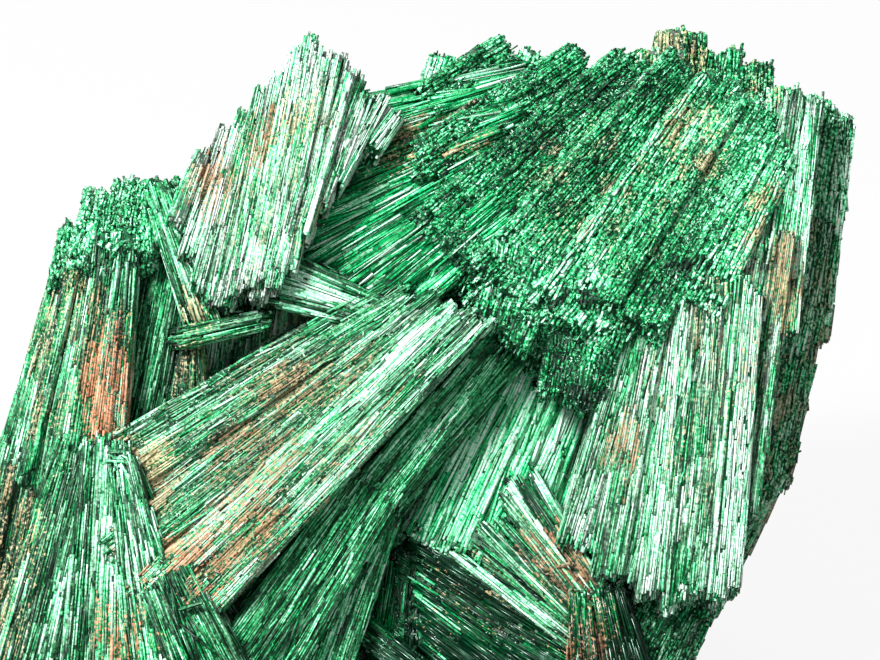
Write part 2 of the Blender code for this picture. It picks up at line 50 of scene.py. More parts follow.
SHEAVES = {
    "peak_plate": (
        ((-18.6, 7.4, 2.2), (-16.6, 13.0, 0.8), (0.85, 0.80), 7.0),
        ((-17.7, 5.0, 2.6), (-15.0, 14.4, 1.0), (0.85, 0.75), 7.0),
        ((-16.9, 2.8, 3.0), (-13.6, 15.6, 1.2), (0.80, 0.75), 8.0),
        ((-15.6, 2.4, 3.4), (-12.4, 17.2, 1.6), (0.80, 0.70), 8.0),
        ((-14.4, 2.6, 3.8), (-11.2, 18.2, 2.0), (0.75, 0.70), 8.0),
        ((-13.2, 3.0, 4.0), (-10.0, 19.4, 2.4), (0.75, 0.70), 8.0),
        ((-12.1, 3.4, 4.2), (-8.9, 20.1, 2.6), (0.75, 0.70), 9.0),
        ((-11.0, 4.6, 4.3), (-7.8, 19.8, 2.6), (0.75, 0.70), 9.0),
        ((-10.2, 6.8, 4.2), (-6.8, 18.8, 2.3), (0.80, 0.70), 9.0),
        ((-9.0, 8.8, 3.8), (-5.8, 17.6, 1.8), (0.85, 0.75), 8.0),
        ((-7.6, 11.2, 3.0), (-4.7, 16.6, 1.0), (0.90, 0.80), 7.0),
        ((-5.4, 13.2, 1.6), (-3.5, 15.8, 0.2), (1.10, 0.90), 6.0),
    ),
    "emerald_fan": (
        ((6.0, 18.6, -5.5), (-6.9, 15.2, -1.8), (1.0, 1.4), 7.0),
        ((5.8, 17.2, -3.5), (-7.3, 12.8, -1.6), (1.0, 1.6), 7.0),
        ((5.2, 15.4, -1.8), (-8.8, 9.6, -1.2), (1.0, 1.7), 7.0),
        ((4.4, 13.6, -0.6), (-10.4, 6.4, -0.9), (1.0, 1.7), 7.0),
        ((3.6, 11.6, 0.4), (-9.6, 3.4, -0.2), (1.0, 1.6), 7.0),
        ((3.0, 9.6, 1.4), (-6.4, 2.6, 1.2), (1.0, 1.5), 7.0),
        ((4.6, 8.4, 2.8), (-3.6, 1.6, 2.4), (1.3, 1.5), 8.0),
    ),
    "druse_face": (
        ((5.6, 20.2, -6.6), (-0.6, 16.2, -2.6), (1.8, 1.6), 8.0),
        ((10.4, 19.4, -5.6), (-0.8, 11.4, 0.6), (1.7, 2.2), 9.0),
        ((14.6, 19.4, -5.4), (0.6, 6.6, 3.4), (1.9, 2.6), 10.0),
        ((18.2, 18.8, -5.2), (4.6, 3.0, 5.4), (2.0, 2.6), 12.0),
        ((21.0, 17.8, -4.6), (9.0, 0.8, 6.4), (2.0, 2.6), 13.0),
        ((23.2, 16.6, -3.8), (13.2, 1.2, 6.6), (1.9, 2.5), 12.0),
        ((24.6, 14.4, -2.8), (17.6, 2.4, 5.4), (1.7, 2.3), 11.0),
        ((6.4, 5.2, 5.0), (4.4, -0.2, 4.6), (2.0, 2.0), 6.0),
        ((11.0, 2.6, 6.0), (9.2, -5.2, 4.6), (2.6, 2.0), 8.0),
    ),
    "back_shoulder": (
        ((14.2, 13.6, -9.2), (14.8, 20.6, -10.2), (2.0, 1.5), 10.0),
        ((18.0, 14.0, -10.0), (18.2, 22.0, -11.0), (2.1, 1.5), 11.0),
        ((21.8, 12.0, -8.6), (22.4, 20.2, -9.4), (3.0, 2.4), 12.0),
        ((26.8, 8.0, -6.8), (27.0, 17.4, -7.8), (2.6, 2.2), 12.0),
        ((-1.0, 12.0, -8.0), (1.4, 20.2, -9.0), (2.4, 1.8), 9.0),
        ((7.2, 14.0, -7.4), (8.2, 20.4, -8.2), (2.4, 1.8), 9.0),
    ),
    "right_column": (
        ((26.6, 17.0, -3.8), (23.6, 0.4, 2.4), (1.3, 1.8), 11.0),
        ((23.8, 6.4, 1.6), (20.6, -12.6, 5.2), (1.4, 1.7), 11.0),
        ((21.2, 3.0, 4.4), (18.9, -18.2, 7.6), (1.5, 1.9), 11.0),
        ((18.4, 3.4, 4.8), (15.9, -18.8, 7.4), (1.5, 1.8), 11.0),
        ((16.2, 2.8, 5.0), (12.6, -17.4, 5.8), (1.4, 1.8), 10.0),
        ((14.0, -1.0, 4.8), (10.0, -15.6, 4.4), (1.3, 1.6), 9.0),
    ),
    "right_flank": (
        ((28.8, 16.0, -7.4), (26.0, 0.0, -3.0), (2.2, 2.6), 14.0, (0.55, 0.1, 0.8)),
        ((26.2, 1.6, -2.4), (23.4, -10.6, -0.6), (2.4, 2.6), 14.0, (0.6, -0.1, 0.8)),
        ((24.2, -8.0, -1.0), (18.2, -19.6, 0.4), (2.4, 2.6), 13.0, (0.6, -0.2, 0.75)),
        ((19.6, -16.0, -1.4), (13.4, -27.6, 0.6), (2.6, 3.2), 13.0, (0.5, -0.3, 0.8)),
        ((30.2, 14.0, -12.0), (20.8, -18.0, -9.0), (4.0, 5.0), 12.0, (1.0, 0.0, 0.1)),
    ),
    "diagonal_bundles": (
        ((-3.4, 2.4, 2.8), (-22.0, -9.0, 2.6), (1.2, 1.7), 9.0),
        ((-1.8, 2.0, 4.2), (-23.4, -12.4, 3.6), (1.2, 1.8), 10.0),
        ((-0.2, 1.6, 5.2), (-22.6, -16.4, 4.8), (1.1, 1.9), 11.0),
        ((1.2, 1.2, 5.8), (-20.6, -19.6, 5.8), (1.0, 1.8), 12.0),
        ((2.4, 0.6, 6.0), (-17.4, -19.6, 6.2), (0.9, 1.4), 12.0),
    ),
    "under_bundles": (
        ((3.8, -1.2, 2.6), (-7.0, -14.6, 3.2), (0.9, 1.5), 9.0),
        ((5.0, -2.0, 1.4), (-3.6, -11.4, 2.4), (0.9, 1.4), 8.0),
        ((-5.0, -11.4, 3.2), (-13.2, -24.0, 4.6), (2.0, 2.8), 11.0),
        ((-4.6, -13.0, 1.6), (-9.4, -25.6, 2.6), (1.6, 2.2), 10.0),
    ),
    "recess_blades": (
        ((5.4, -3.0, -1.8), (-0.4, -15.4, -0.8), (1.0, 1.6), 6.0),
        ((7.6, -3.8, -2.0), (2.2, -16.4, -0.2), (1.1, 1.6), 6.0),
        ((9.6, -5.6, -1.8), (4.8, -17.0, -0.6), (1.0, 1.5), 6.0),
        ((11.4, -9.0, -2.2), (8.2, -19.0, -1.2), (1.2, 1.6), 6.0),
    ),
    "crossing_needles": (
        ((11.6, -18.8, 4.2), (6.6, -10.2, 1.6), (0.40, 0.26), 3.0),
        ((11.2, -19.0, 4.4), (5.8, -10.8, 2.0), (0.40, 0.26), 3.0),
        ((10.8, -19.2, 4.1), (5.1, -11.2, 1.2), (0.40, 0.26), 3.0),
        ((10.4, -19.5, 4.3), (4.4, -12.0, 1.5), (0.40, 0.26), 3.0),
        ((10.0, -19.9, 3.9), (4.0, -13.3, 0.8), (0.40, 0.28), 3.0),
        ((9.6, -20.4, 3.6), (3.2, -14.2, 0.6), (0.45, 0.32), 3.0),
        ((9.8, -21.2, 2.8), (1.6, -15.0, -0.6), (1.4, 1.1), 6.0),
    ),
    "lower_sheaves": (
        ((9.6, -22.6, 2.2), (-2.2, -15.6, -1.6), (2.2, 2.0), 8.0),
        ((7.0, -26.0, 2.6), (-2.4, -19.4, -2.0), (2.6, 2.2), 8.0),
        ((-3.6, -25.8, -1.6), (-2.6, -16.4, -2.0), (1.6, 1.0), 6.0),
        ((1.2, -26.6, 1.4), (-6.8, -20.8, -0.4), (0.6, 0.9), 3.0),
        ((12.8, -27.6, 3.2), (11.2, -19.0, 4.8), (2.8, 1.7), 9.0),
    ),
    "left_column": (
        ((-26.8, 6.4, -2.6), (-30.6, -9.6, -1.8), (1.4, 2.4), 10.0, (-0.6, 0.0, 0.8)),
        ((-25.0, 6.6, -0.2), (-28.2, -10.8, 1.8), (1.4, 2.2), 10.0, (-0.3, 0.0, 0.95)),
        ((-23.0, 6.6, 1.0), (-24.8, -10.2, 3.4), (1.2, 1.9), 10.0),
        ((-19.8, 8.8, -2.2), (-20.2, -8.6, -1.6), (1.9, 1.9), 8.0),
        ((-20.4, 10.2, 1.4), (-16.8, 0.2, 1.6), (0.8, 1.2), 5.0),
        ((-17.9, -0.4, 0.8), (-18.2, -8.6, 1.0), (0.6, 1.4), 5.0),
        ((-18.8, -0.6, 2.0), (-13.2, 0.6, 1.8), (0.6, 0.5), 4.0),
        ((-27.6, 5.0, -6.6), (-32.2, -12.0, -7.0), (2.6, 3.4), 9.0, (-1.0, 0.2, 0.2)),
    ),
    "cap_druse": (
        ((-26.4, 3.6, -1.4), (-26.0, 8.0, -3.0), (1.6, 1.4), 8.0),
        ((-24.6, 4.8, 0.8), (-24.0, 9.6, -1.4), (1.8, 1.5), 8.0),
        ((-22.4, 5.8, 1.2), (-21.8, 10.4, -1.2), (1.8, 1.6), 8.0),
        ((-20.2, 6.6, -1.0), (-19.8, 10.8, -3.0), (1.9, 1.6), 8.0),
    ),
    "splinters": (
        ((-4.0, 1.4, 2.8), (-12.2, 4.6, 2.6), (0.7, 1.4), 4.0),
        ((-5.2, 0.8, 2.6), (-11.8, 2.6, 2.2), (0.6, 0.8), 4.0),
    ),
    "lower_left": (
        ((-25.4, -8.6, 3.2), (-29.4, -24.8, 3.4), (1.9, 2.8), 11.0),
        ((-23.6, -8.2, 4.0), (-24.2, -25.4, 5.0), (1.5, 2.4), 11.0),
        ((-22.4, -9.4, 4.8), (-19.4, -25.8, 6.4), (1.0, 2.2), 11.0),
        ((-19.2, -17.4, 6.0), (-14.6, -27.4, 7.0), (1.8, 2.6), 11.0),
        ((-30.6, -8.4, -2.4), (-34.4, -27.0, -1.6), (2.8, 3.8), 12.0, (-0.6, 0.1, 0.8)),
    ),
    "skirt": (
        ((-31.6, -22.0, 0.0), (-31.0, -33.6, 0.6), (4.0, 4.4), 14.0, (-0.4, 0.0, 1.0)),
        ((-23.8, -23.6, 4.0), (-23.4, -34.6, 4.4), (4.2, 4.6), 14.0),
        ((-14.8, -24.4, 4.8), (-14.6, -35.0, 4.8), (4.4, 4.8), 14.0),
        ((-5.8, -24.6, 1.4), (-5.8, -34.4, 2.2), (4.6, 4.8), 12.0),
        ((3.6, -25.6, 0.8), (3.2, -34.2, 1.6), (4.6, 4.8), 12.0),
        ((11.6, -26.0, 1.2), (10.6, -34.0, 0.8), (4.0, 4.0), 12.0, (0.2, 0.0, 1.0)),
    ),
    "back_sheaves": (
        ((-24.6, 6.6, -9.0), (-31.0, -26.0, -12.0), (4.0, 5.0), 10.0, (-0.9, 0.2, -0.6)),
        ((-17.0, 10.4, -13.4), (-22.4, -28.0, -23.0), (4.6, 5.6), 12.0, (-0.3, 0.2, -1.0)),
        ((-8.4, 13.4, -15.6), (-11.6, -28.0, -27.4), (4.8, 5.8), 13.0, (0.0, 0.3, -1.0)),
        ((0.6, 14.6, -17.8), (-0.6, -28.0, -29.6), (4.8, 5.8), 14.0, (0.0, 0.3, -1.0)),
        ((9.4, 16.2, -19.4), (8.4, -27.0, -29.0), (4.8, 5.4), 15.0, (0.1, 0.2, -1.0)),
        ((18.2, 15.4, -20.0), (15.2, -24.0, -25.8), (4.6, 4.8), 14.0, (0.4, 0.2, -1.0)),
        ((26.0, 12.2, -17.4), (19.0, -20.0, -17.4), (4.0, 4.6), 12.0, (0.9, 0.1, -0.5)),
        ((-13.6, 8.6, -17.6), (11.6, -5.2, -24.8), (0.9, 2.0), 6.0, (0.0, 0.3, -1.0)),
        ((-14.2, 7.8, -17.8), (9.4, -10.6, -26.9), (1.0, 2.3), 6.0, (0.0, 0.3, -1.0)),
        ((-14.8, 7.0, -17.6), (5.2, -15.8, -28.1), (1.0, 2.3), 6.0, (0.0, 0.3, -1.0)),
        ((-15.4, 6.0, -17.2), (-0.8, -19.8, -28.6), (0.9, 2.1), 6.0, (0.0, 0.3, -1.0)),
        ((20.8, 9.0, -21.4), (17.6, -16.6, -26.0), (1.2, 2.2), 6.0, (0.3, 0.2, -1.0)),
    ),
}

SKIN_SPOTS = 480000
SLIT = 0.5
OFF_SKIN = 0.02
LEAST_HALF_WIDTH = 0.3
BASE_CLEARANCE = 0.15
EDGE_SLACK = 1.1
rng = np.random.default_rng(12)
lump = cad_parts["malachite_cluster"]


def corners_of(solid):
    """The corners of a solid's triangles, in mm."""
    mesh = solid.data
    mesh.calc_loop_triangles()
    points = np.empty(len(mesh.vertices) * 3)
    mesh.vertices.foreach_get("co", points)
    triangles = np.empty(len(mesh.loop_triangles) * 3, np.int32)
    mesh.loop_triangles.foreach_get("vertices", triangles)
    return points.reshape(-1, 3)[triangles].reshape(-1, 3, 3) / MM


def unit(vectors):
    """Vectors made one long."""
    return vectors / np.maximum(np.linalg.norm(vectors, axis=-1, keepdims=True), 1e-9)


def dot(first, second):
    """Dot products, row by row."""
    return (first * second).sum(axis=-1)


def spread_over(corners, count):
    """Points spread evenly over triangles, and which way the skin faces at each."""
    crossed = np.cross(corners[:, 1] - corners[:, 0], corners[:, 2] - corners[:, 0])
    area = np.linalg.norm(crossed, axis=1)
    picked = rng.choice(len(area), count, p=area / area.sum())
    a, b = rng.random((2, count, 1))
    over = a + b > 1
    a, b = np.where(over, 1 - a, a), np.where(over, 1 - b, b)
    first, second, third = (corners[picked, i] for i in range(3))
    return first + a * (second - first) + b * (third - first), unit(crossed)[picked]


def in_the_open(points, outward, bvh):
    """Whether nothing stands close in front of each point of the skin."""
    found = []
    for point, way in zip(points.tolist(), outward.tolist()):
        way = Vector(way)
        found.append(bvh.ray_cast(Vector(point) + way * OFF_SKIN, way, SLIT)[0] is None)
    return np.array(found)


def nearest_sheaf(on_face):
    """For each point the row of SHEAVES whose skin is nearest."""
    nearest = np.full(len(on_face), np.inf)
    row_of = np.zeros(len(on_face), np.int32)
    for row, axes in enumerate(row_axes):
        run, aside, height = ((on_face - row_start[row]) @ axes.T).T
        half = row_half[row, 0] + (row_half[row, 1] - row_half[row, 0]) * run / row_length[row]
        beside = np.abs(aside) - EDGE_SLACK * half
        past = [beside, -run, run - row_length[row], height, -row_depth[row] - height]
        away = np.abs(np.max(past, axis=0))
        closer = away < nearest
        nearest[closer] = away[closer]
        row_of[closer] = row
    return row_of


sheaf_rows = [(number, *row) for number, group in enumerate(SHEAVES.values()) for row in group]
row_group = np.array([row[0] for row in sheaf_rows])
row_start = np.array([row[1] for row in sheaf_rows])
row_run = np.array([row[2] for row in sheaf_rows]) - row_start
row_half = np.array([row[3] for row in sheaf_rows])
row_depth = np.array([row[4] for row in sheaf_rows])
row_facing = np.array([row[5] if len(row) > 5 else OUT for row in sheaf_rows])
row_length = np.linalg.norm(row_run, axis=1)
row_side = unit(np.cross(row_run, row_facing))
row_axes = np.stack([unit(row_run), row_side, unit(np.cross(row_side, row_run))], axis=1)

skin_corners = corners_of(lump)
skin_bvh = BVHTree.FromPolygons(
    [tuple(p) for p in skin_corners.reshape(-1, 3).tolist()],
    [(i, i + 1, i + 2) for i in range(0, 3 * len(skin_corners), 3)],
)
spots, outward = spread_over(skin_corners, SKIN_SPOTS)
above_base = spots[:, 2] > BASE_CLEARANCE
spots, outward = spots[above_base], outward[above_base]
open_spots = in_the_open(spots, outward, skin_bvh)
spots, outward = spots[open_spots], outward[open_spots]

# Each spot's place in its sheaf's own frame, as run, aside and height, and its fibre direction
spots_on_face = (spots - FACE_CENTRE) @ FACE_AXES.T
row_of = nearest_sheaf(spots_on_face)
sheaf_of = row_group[row_of]
in_sheaf = np.einsum("nij,nj->ni", row_axes[row_of], spots_on_face - row_start[row_of])
facing_in_sheaf = np.einsum("nij,nj->ni", row_axes[row_of], outward @ FACE_AXES.T)
widening = (row_half[row_of, 1] - row_half[row_of, 0]) / row_length[row_of]
half_here = np.maximum(row_half[row_of, 0] + widening * in_sheaf[:, 0], LEAST_HALF_WIDTH)
fan = widening * in_sheaf[:, 1] / half_here
fibre = unit(row_axes[row_of, 0] + fan[:, None] * row_axes[row_of, 1]) @ FACE_AXES
room = np.stack([in_sheaf[:, 0], row_length[row_of] - in_sheaf[:, 0]], axis=1)
unused = np.ones(len(spots), bool)


# The body's own stone shows only in the slits between the crystals and on the broken base: deep green,
# blotched from nearly black to lighter veins, its roughness varying with the grain.
BODY_DARK = (0.001, 0.008, 0.004, 1.0)
BODY_GREEN = (0.003, 0.050, 0.018, 1.0)
BODY_PALE = (0.03, 0.20, 0.09, 1.0)
BODY_GRAINS_A_METRE = 2600.0
BODY_BLOTCHES_A_METRE = 420.0


def new_material(name):
    """An empty material and a function that adds and wires its nodes."""
    material = bpy.data.materials.new(name)
    material.use_nodes = True
    tree = material.node_tree
    tree.nodes.clear()

    def add(kind, settings=None, *places, **inputs):
        node = tree.nodes.new(kind)
        for key, value in (settings or {}).items():
            setattr(node, key, value)
        named = [(node.inputs[key.replace("_", " ")], value) for key, value in inputs.items()]
        for socket, value in [*zip(node.inputs, places), *named]:
            if isinstance(value, bpy.types.NodeSocket):
                tree.links.new(value, socket)
            else:
                socket.default_value = value
        return node

    return material, add


def ramp(add, factor, stops):
    """A colour ramp through stops of place and colour."""
    node = add("ShaderNodeValToRGB", None, factor)
    elements = node.color_ramp.elements
    while len(elements) < len(stops):
        elements.new(1.0)
    for element, (place, colour) in zip(elements, stops):
        element.position = place
        element.color = colour
    return node.outputs["Color"]


def reckon(add, operation, *values, clamp=False):
    """One sum on numbers."""
    node = add("ShaderNodeMath", {"operation": operation, "use_clamp": clamp}, *values)
    return node.outputs["Value"]


def cloudy(add, place, scale, detail=1.0):
    """Soft noise of about this many blotches a metre, or a millimetre where the place is in mm."""
    node = add("ShaderNodeTexNoise", None, Vector=place, Scale=scale, Detail=detail)
    return node.outputs["Fac"]


def body_stone():
    """The dark green stone between the crystals."""
    material, add = new_material("body_stone")
    place = add("ShaderNodeTexCoord").outputs["Object"]
    grain = cloudy(add, place, BODY_GRAINS_A_METRE, 2.0)
    mixed = reckon(add, "MULTIPLY", cloudy(add, place, BODY_BLOTCHES_A_METRE, 2.0), grain)
    colour = ramp(add, mixed, ((0.12, BODY_DARK), (0.26, BODY_GREEN), (0.48, BODY_PALE)))
    bump = add("ShaderNodeBump", None, Strength=0.5, Distance=0.0001, Height=grain).outputs["Normal"]
    rough = reckon(add, "MULTIPLY_ADD", grain, 0.4, 0.3)
    shader = add("ShaderNodeBsdfPrincipled", None, Base_Color=colour, Roughness=rough, Normal=bump)
    shader.inputs["Specular IOR Level"].default_value = 0.2
    add("ShaderNodeOutputMaterial", None, Surface=shader.outputs["BSDF"])
    return material


lump.data.materials.clear()
lump.data.materials.append(body_stone())


# The peak plate: the pale flat plate of parallel needles at the upper left, flecked with brown
# iron stain. The needles lie side by side along the plate, each broken across here and there.
# The shapes, the laying and the finish are shared with every later sheaf.
GROUPS = list(SHEAVES)
LUCK = rng.random((4099, 8))
END_ON = 0.75

# The shapes: a bar is narrower on top, and the triangles have sides of one
TOP_OF_BAR = (0.98, 0.58, 1.0)
TRIANGLE_RADIUS = 0.577

# How the crystals lie on the skin, in mm
BURIED = 0.12
PAST_THE_END = 0.3
FREE_TIP = 0.6
THICKEST = 0.3
LEAST_SPARE = 0.03
MOST_SPARE = 0.25
AHEAD_SHARE = 0.7
ROOTED = 0.32
STAIN_CROWD = 4.0

# How needles laid side by side vary, by group, bundle, needle and piece; spans in mm
LEVEL = 1.1
BUNDLE = 0.75
TONE_GROUP = 1.9
TONE_BUNDLE = 0.8
BREAKS_VARY = (1.6, 0.5, 0.3)
TONES_VARY = (0.7, 0.35, 1.1, 0.4)
SWELLS_VARY = (0.30, 0.4, 0.2)
ROLLS_VARY = (1.7, 0.3)
WIDTHS_VARY = (0.85, 1.25)
NEEDLES_APART = 977
ROWS_APART = 31.7

# The shades: darker at the root as painted shade between the crystals, lifted towards silver as a
# painted sheen on the brightest crystals
ROOT_PAINTED_SHADE = 0.30
EVEN_CORE = 1.4
PAINTED_SHEEN_BASE = 0.58
SPECKS_A_METRE = 4600.0
SHEEN = (0.72, 1.0, 0.86, 1.0)

# The finish: noise a mm along, across and up; each mask is clamped from a factor and an offset
STREAK_NOISE = (0.4, 11.0, 11.0)
CRACK_NOISE = (6.0, 1.5, 1.5)
CRACK_EDGE = (-9.0, 6.3)
CRACK_DEPTH = 0.4
# How much the grey tone and painted silver sheen take the colour out of the crystals
GREY_AND_SHEEN_STRENGTH = 0.85
STAIN_EDGE = (14.6, 6.6, -10.6)
STAIN_COVERS = 0.85
STAIN_LIGHT = (2.6, 0.5, -0.7)
ROUGHNESS_SPAN = 0.3

# From near black, which also serves as painted shade at the roots, to silver, which also serves as
# painted sheen
SHADES = (
    (0.00, (0.0003, 0.006, 0.0025, 1.0)),
    (0.20, (0.0005, 0.026, 0.009, 1.0)),
    (0.38, (0.0008, 0.105, 0.026, 1.0)),
    (0.52, (0.004, 0.290, 0.075, 1.0)),
    (0.66, (0.055, 0.480, 0.200, 1.0)),
    (0.80, (0.240, 0.610, 0.395, 1.0)),
    (1.00, (0.580, 0.700, 0.645, 1.0)),
)

# From rust over brown and tan to grey dust: a stain's kind is its place here
STAINS = (
    (0.00, (0.480, 0.150, 0.080, 1.0)),
    (0.30, (0.400, 0.175, 0.090, 1.0)),
    (0.55, (0.280, 0.165, 0.090, 1.0)),
    (0.75, (0.390, 0.300, 0.165, 1.0)),
    (1.00, (0.230, 0.230, 0.150, 1.0)),
)


def bar_shape(tip=1.0):
    """A bar crystal of unit size along X, narrower on top and, if wished, at one end."""
    bm = bmesh.new()
    bmesh.ops.create_cube(bm, size=1.0)
    top = [v for v in bm.verts if v.co.z > 0]
    bmesh.ops.scale(bm, vec=TOP_OF_BAR, verts=top)
    end = [v for v in bm.verts if v.co.x > 0]
    bmesh.ops.scale(bm, vec=(1.0, tip, tip), verts=end)
    return bm


def ridge_shape():
    """A three-sided crystal of unit size along X, with one edge on top."""
    bm = bmesh.new()
    bmesh.ops.create_cone(
        bm, cap_ends=True, segments=3, radius1=TRIANGLE_RADIUS, radius2=TRIANGLE_RADIUS, depth=1.0
    )
    bmesh.ops.rotate(bm, verts=bm.verts, matrix=Matrix.Rotation(-math.pi / 2, 3, "Y"))
    return bm


def crumb_shape():
    """A small three-sided point of unit size, standing up along Z."""
    bm = bmesh.new()
    bmesh.ops.create_cone(bm, cap_ends=True, segments=3, radius1=TRIANGLE_RADIUS, radius2=0.0, depth=1.0)
    return bm


def take(group, count, end_on=False):
    """The first unused spots of a sheaf group, on its long sides or on its broken ends."""
    facing = np.abs(dot(outward, fibre)) > END_ON
    fits = unused & (sheaf_of == GROUPS.index(group)) & (facing == end_on)
    chosen = np.flatnonzero(fits)[:count]
    unused[chosen] = False
    return chosen


def between(low_high, count, low_side=1.0):
    """Random sizes from low to high; above 1, low_side makes small ones the more common."""
    return low_high[0] + (low_high[1] - low_high[0]) * rng.random(count) ** low_side


def turned(along, up, yaw, pitch, roll):
    """Frames of along, across and up, each swung by a little of its own, rolled by roll."""
    count = len(along)
    side = unit(np.cross(up, along))
    along = unit(along + side * rng.normal(0, yaw, (count, 1)) + up * rng.normal(0, pitch, (count, 1)))
    side = unit(np.cross(up, along) + up * np.broadcast_to(roll, count)[:, None])
    return np.stack([along, side, np.cross(along, side)], axis=1)


def luck_of(number, column):
    """The same random value every time for the same number, from 0 to 1."""
    return LUCK[np.asarray(number, np.int64) % len(LUCK), column]


def wave(place, column):
    """Smooth ups and downs from -1 to 1 along a line, a new one at each whole step."""
    step = np.floor(place)
    part = place - step
    part = part * part * (3 - 2 * part)
    low, high = luck_of(step, column), luck_of(step + 1, column)
    return 2 * (low + (high - low) * part) - 1


def patches(points, size, seed):
    """A smooth field of about -1 to 1 over points in mm."""
    shift = Vector((seed * 7.1, seed * 3.3, seed * 5.7))
    return np.array([noise.noise(Vector(p) / size + shift) for p in points.tolist()]) * 1.6


def lay_side_by_side(group, width, piece, proud, roll=0.35, yaw=0.012):
    """Covers a group's long sides with needles laid side by side, each broken into pieces."""
    # Which needle, and which broken piece of it, each spot of the skin belongs to
    facing = np.abs(dot(outward, fibre)) < END_ON
    chosen = np.flatnonzero((sheaf_of == GROUPS.index(group)) & facing)
    run, aside, height = in_sheaf[chosen].T
    _, to_side, to_front = facing_in_sheaf[chosen].T
    steep = np.hypot(to_side, to_front)
    opened = half_here[chosen] / row_half[row_of[chosen]].mean(axis=1)
    lane = (aside * to_front / opened - height * to_side) / steep
    number = np.floor(lane / width)
    needle = number + NEEDLES_APART * row_of[chosen]
    middle = (number + 0.5) * width + ROWS_APART * row_of[chosen]
    by_bundle, by_needle, within = BREAKS_VARY
    breaks = run / piece + by_bundle * wave(middle / BUNDLE, 0) + by_needle * luck_of(needle, 1)
    segment = np.floor(breaks + within * wave(breaks * 0.7 + needle, 2))
    level = np.floor(dot(in_sheaf[chosen], facing_in_sheaf[chosen]) / LEVEL)
    aspect = 2 * (to_front > 0) + (np.abs(to_side) > np.abs(to_front))
    belongs = np.stack([needle, segment, level, aspect]).astype(np.int64)
    belongs -= belongs.min(axis=1, keepdims=True)
    key = np.ravel_multi_index(belongs, belongs.max(axis=1) + 1)
    _, first, which = np.unique(key, return_index=True, return_inverse=True)
    count = np.bincount(which)

    # One crystal for each piece, along the fibre and as long as the spots reach
    def mean_of(values):
        return np.stack([np.bincount(which, column) for column in values.T], axis=1) / count[:, None]

    point, up, way = mean_of(spots[chosen]), unit(mean_of(outward[chosen])), mean_of(fibre[chosen])
    along = unit(way - up * dot(way, up)[:, None])
    reach = dot(spots[chosen] - point[which], along[which])
    order = np.argsort(which, kind="stable")
    starts = np.cumsum(count) - count
    low = np.minimum.reduceat(reach[order], starts)
    high = np.maximum.reduceat(reach[order], starts)
    between_spots = (high - low) / np.maximum(count - 1, 1)
    spare = np.minimum(0.6 * between_spots, MOST_SPARE) + LEAST_SPARE

    # Its own tone, height, roll and width
    needle, segment, middle, opened = needle[first], segment[first], middle[first], opened[first]
    own = needle * 31 + segment
    by_group, by_bundle, by_needle, by_piece = TONES_VARY
    bundle = by_group * wave(middle / TONE_GROUP, 4) + by_bundle * wave(middle / TONE_BUNDLE + 40.0, 0)
    tone = bundle + by_needle * (luck_of(needle, 3) - 0.5) + by_piece * (luck_of(own, 5) - 0.5)
    by_bundle, by_piece, by_tone = SWELLS_VARY
    swell = 0.5 + by_bundle * wave(middle / BUNDLE + segment * 0.6, 6)
    swell += by_piece * (luck_of(own, 7) - 0.5)
    above = proud[0] + (proud[1] - proud[0]) * np.clip(swell + by_tone * tone, 0, 1)
    thick = above + BURIED
    by_needle, by_piece = ROLLS_VARY
    rolled = roll * by_needle * (2 * luck_of(needle, 2) - 1)
    rolled += by_piece * roll * rng.normal(size=len(tone))
    frames = turned(along, up, yaw, yaw, rolled)
    middles = point + along * ((low + high) / 2)[:, None] + up * (above - thick / 2)[:, None]
    wide = width * opened * between(WIDTHS_VARY, len(tone))
    enough = count > 1
    lay = middles, frames, np.stack([high - low + 2 * spare, wide, thick], axis=1), tone
    return [values[enough] for values in lay]


def lay_loose(group, count, length, width, proud, yaw=0.08, pitch=0.02, roll=0.5):
    """Long crystals scattered over the others, roughly along the fibres."""
    chosen = take(group, count)
    up, way = outward[chosen], fibre[chosen]
    along = unit(way - up * dot(way, up)[:, None])
    half = between(length, len(chosen), low_side=1.6) / 2
    back = np.minimum(half, np.maximum(room[chosen, 0], 0) + PAST_THE_END)
    ahead = np.minimum(half, np.maximum(room[chosen, 1], 0) + PAST_THE_END)
    above = between(proud, len(chosen), low_side=1.8)
    thick = np.minimum(above + BURIED, THICKEST)
    frames = turned(along, up, yaw, pitch, rng.normal(0, roll, len(chosen)))
    middles = spots[chosen] + along * ((ahead - back) / 2)[:, None] + up * (above - thick / 2)[:, None]
    sizes = np.stack([back + ahead, between(width, len(chosen)), thick], axis=1)
    tips = middles[:, None] + frames[:, :1] * sizes[:, :1, None] * np.array((-0.5, 0.5))[:, None]
    held = [all(skin_bvh.find_nearest(tip, FREE_TIP)[0] for tip in ends) for ends in tips.tolist()]
    return [values[held] for values in (middles, frames, sizes, rng.uniform(-1, 1, len(chosen)))]


def lay_ends(group, count, proud, width, lean=0.06):
    """Broken crystal ends that stand out of a sheaf's end."""
    chosen = take(group, count, end_on=True)
    way = fibre[chosen] * np.sign(dot(fibre[chosen], outward[chosen]))[:, None]
    above = between(proud, len(chosen), low_side=1.5)
    long = above + 2 * BURIED
    across = unit(np.cross(way, rng.normal(size=way.shape)))
    frames = turned(way, across, lean, lean, rng.normal(0, 1.0, len(chosen)))
    wide = between(width, len(chosen))
    middles = spots[chosen] + way * (above - long / 2)[:, None]
    return middles, frames, np.stack([long, wide, wide * 0.8], axis=1), rng.uniform(-1, 1, len(chosen))


